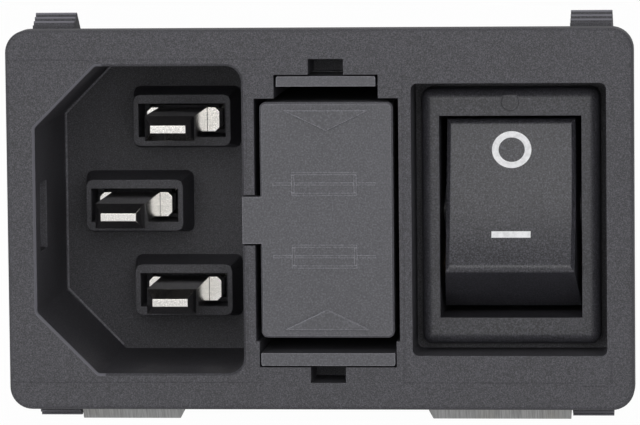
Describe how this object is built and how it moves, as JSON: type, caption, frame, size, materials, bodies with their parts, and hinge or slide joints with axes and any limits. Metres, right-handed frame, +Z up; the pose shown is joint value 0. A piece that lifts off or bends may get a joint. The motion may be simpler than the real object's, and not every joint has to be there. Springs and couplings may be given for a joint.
{
  "type": "c14 panel inlet socket",
  "caption": "Snap-in panel power entry module: C14 inlet cavity with blade pins, a fuse drawer and a rocker switch in one flanged housing.",
  "frame": {"origin": "centre of the panel cut-out, in the plane of the panel's front face, which is the flange's back face", "axes": "+X to the right along the flange's long side as seen from the front, +Y into the equipment along the insertion direction, +Z up; the switch is at +X and the inlet at -X"},
  "size_m": [0.05, 0.0346, 0.0329],
  "materials": {
    "housing_plastic": "fine texture",
    "cover_plastic": "satin",
    "drawer_plastic": "smooth",
    "case_plastic": "satin",
    "rocker_plastic": "satin",
    "pin_metal": "nickel plated",
    "contact_brass": "tin plated",
    "cap_metal": "bright",
    "fuse_wire": "bright",
    "clip_metal": "satin",
    "spring_steel": "bright",
    "bridge_copper": "silvered",
    "plunger_plastic": "satin",
    "fuse_glass": "clear"
  },
  "bodies": {
    "housing": {"front_housing": "housing_plastic", "rear_cover": "cover_plastic", "line_pin": "pin_metal", "neutral_pin": "pin_metal", "earth_pin": "pin_metal", "switch_case": "case_plastic", "line_fuse_link": "contact_brass", "neutral_fuse_link": "contact_brass", "line_outlet_contact": "contact_brass", "neutral_outlet_contact": "contact_brass", "left_common_terminal": "contact_brass", "right_common_terminal": "contact_brass", "left_load_terminal": "contact_brass", "right_load_terminal": "contact_brass", "left_earthing_clip": "clip_metal", "right_earthing_clip": "clip_metal"},
    "drawer": {"fuse_drawer": "drawer_plastic", "line_fuse_tube": "fuse_glass", "line_fuse_wire": "fuse_wire", "line_fuse_front_cap": "cap_metal", "line_fuse_rear_cap": "cap_metal", "neutral_fuse_tube": "fuse_glass", "neutral_fuse_wire": "fuse_wire", "neutral_fuse_front_cap": "cap_metal", "neutral_fuse_rear_cap": "cap_metal"},
    "rocker": {"rocker": "rocker_plastic", "left_plunger": "plunger_plastic", "left_plunger_spring": "spring_steel", "right_plunger": "plunger_plastic", "right_plunger_spring": "spring_steel"},
    "left_bridge": {"left_contact_bridge": "bridge_copper"},
    "right_bridge": {"right_contact_bridge": "bridge_copper"}
  },
  "joints": [
    {"name": "fuse_drawer_slide", "type": "slide", "parent": "housing", "child": "drawer", "axis": [0, -1, 0], "range_m": [0, 0.026]},
    {"name": "rocker_tilt", "type": "hinge", "parent": "housing", "child": "rocker", "pos_m": [0.01512, 0.0063, 0], "axis": [1, 0, 0], "range_deg": [0, 32]},
    {"name": "left_bridge_tilt", "type": "hinge", "parent": "housing", "child": "left_bridge", "pos_m": [0.01172, 0.01335, 0], "axis": [1, 0, 0], "range_deg": [-18.5, 0.5]},
    {"name": "right_bridge_tilt", "type": "hinge", "parent": "housing", "child": "right_bridge", "pos_m": [0.01852, 0.01335, 0], "axis": [1, 0, 0], "range_deg": [-18.5, 0.5]}
  ],
  "couplings": [
    {"joint": "left_bridge_tilt", "follows": "rocker_tilt", "ratio": -0.5625},
    {"joint": "right_bridge_tilt", "follows": "rocker_tilt", "ratio": -0.5625}
  ]
}
